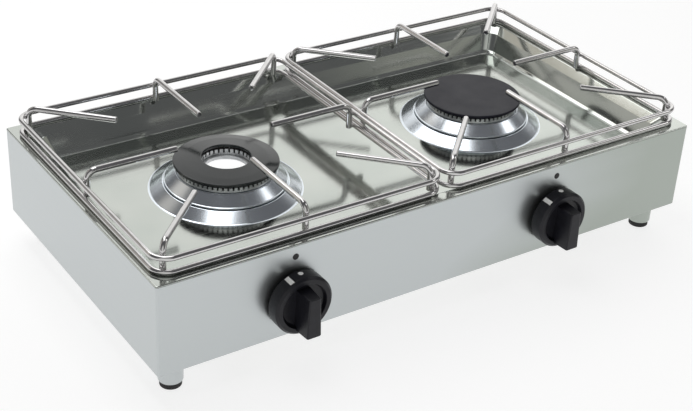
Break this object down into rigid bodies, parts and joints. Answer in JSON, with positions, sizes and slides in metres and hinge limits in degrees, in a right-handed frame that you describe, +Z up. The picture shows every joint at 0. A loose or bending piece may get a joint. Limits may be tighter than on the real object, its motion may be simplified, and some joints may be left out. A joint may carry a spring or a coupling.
{
  "type": "camping stove",
  "caption": "Table-top gas stove: a flat stainless steel box with a sunken polished tray, ring burners, wire pan supports, front knobs and short rubber-tipped feet.",
  "frame": {"origin": "on the worktop, under the middle of the body", "axes": "+X to the right along the front panel, +Y from the front panel to the rear wall, +Z up"},
  "size_m": [0.6, 0.386, 0.1495],
  "materials": {
    "brushed_steel": "fine brushed stainless steel",
    "polished_steel": "mirror-polished stainless steel",
    "wire_steel": "polished stainless steel wire",
    "cast_aluminium": "machined cast aluminium",
    "black_enamel": "satin black vitreous enamel on pressed steel",
    "black_plastic": "moulded black thermoset plastic",
    "black_rubber": "matte black rubber",
    "brass": "turned brass",
    "spring_steel": "bright spring wire"
  },
  "bodies": {
    "stove": {"housing": "brushed_steel", "hob_tray": "polished_steel", "front_left_foot_sleeve": "brushed_steel", "front_left_foot_pad": "black_rubber", "front_left_foot_nut": "brushed_steel", "front_right_foot_sleeve": "brushed_steel", "front_right_foot_pad": "black_rubber", "front_right_foot_nut": "brushed_steel", "rear_left_foot_sleeve": "brushed_steel", "rear_left_foot_pad": "black_rubber", "rear_left_foot_nut": "brushed_steel", "rear_right_foot_sleeve": "brushed_steel", "rear_right_foot_pad": "black_rubber", "rear_right_foot_nut": "brushed_steel", "gas_rail": "polished_steel", "rail_plug": "brass", "gas_inlet": "brass", "left_mixing_body": "cast_aluminium", "left_burner_collar": "polished_steel", "left_injector": "brass", "left_tap_body": "brass", "left_tap_cover": "brass", "right_mixing_body": "cast_aluminium", "right_burner_collar": "polished_steel", "right_injector": "brass", "right_tap_body": "brass", "right_tap_cover": "brass"},
    "left_tap_core": {"left_tap_plug": "brass", "left_tap_spring": "spring_steel"},
    "left_control": {"left_tap_stem": "brass", "left_knob": "black_plastic"},
    "left_head": {"left_burner_head": "cast_aluminium"},
    "left_cap": {"left_burner_cap": "black_enamel"},
    "left_support": {"left_support_lower_ring": "wire_steel", "left_support_upper_ring": "wire_steel", "left_support_left_finger": "wire_steel", "left_support_right_finger": "wire_steel", "left_support_front_finger": "wire_steel", "left_support_rear_finger": "wire_steel", "left_support_front_left_finger": "wire_steel", "left_support_front_right_finger": "wire_steel", "left_support_rear_left_finger": "wire_steel", "left_support_rear_right_finger": "wire_steel"},
    "right_tap_core": {"right_tap_plug": "brass", "right_tap_spring": "spring_steel"},
    "right_control": {"right_tap_stem": "brass", "right_knob": "black_plastic"},
    "right_head": {"right_burner_head": "cast_aluminium"},
    "right_cap": {"right_burner_cap": "black_enamel"},
    "right_support": {"right_support_lower_ring": "wire_steel", "right_support_upper_ring": "wire_steel", "right_support_left_finger": "wire_steel", "right_support_right_finger": "wire_steel", "right_support_front_finger": "wire_steel", "right_support_rear_finger": "wire_steel", "right_support_front_left_finger": "wire_steel", "right_support_front_right_finger": "wire_steel", "right_support_rear_left_finger": "wire_steel", "right_support_rear_right_finger": "wire_steel"}
  },
  "joints": [
    {"name": "left_knob_turn", "type": "hinge", "parent": "stove", "child": "left_tap_core", "pos_m": [-0.167, -0.1575, 0.0675], "axis": [0, -1, 0], "range_deg": [0, 180]},
    {"name": "left_knob_push", "type": "slide", "parent": "left_tap_core", "child": "left_control", "axis": [0, 1, 0], "range_m": [0, 0.0025], "stiffness_N_per_m": 1500, "springref_m": -0.003},
    {"name": "left_head_lift", "type": "slide", "parent": "stove", "child": "left_head", "axis": [0, 0, 1], "range_m": [0, 0.008]},
    {"name": "left_cap_lift", "type": "slide", "parent": "left_head", "child": "left_cap", "axis": [0, 0, 1], "range_m": [0, 0.008]},
    {"name": "left_support_lift", "type": "slide", "parent": "stove", "child": "left_support", "axis": [0, 0, 1], "range_m": [0, 0.06]},
    {"name": "right_knob_turn", "type": "hinge", "parent": "stove", "child": "right_tap_core", "pos_m": [0.127, -0.1575, 0.0675], "axis": [0, -1, 0], "range_deg": [0, 180]},
    {"name": "right_knob_push", "type": "slide", "parent": "right_tap_core", "child": "right_control", "axis": [0, 1, 0], "range_m": [0, 0.0025], "stiffness_N_per_m": 1500, "springref_m": -0.003},
    {"name": "right_head_lift", "type": "slide", "parent": "stove", "child": "right_head", "axis": [0, 0, 1], "range_m": [0, 0.008]},
    {"name": "right_cap_lift", "type": "slide", "parent": "right_head", "child": "right_cap", "axis": [0, 0, 1], "range_m": [0, 0.008]},
    {"name": "right_support_lift", "type": "slide", "parent": "stove", "child": "right_support", "axis": [0, 0, 1], "range_m": [0, 0.06]}
  ]
}
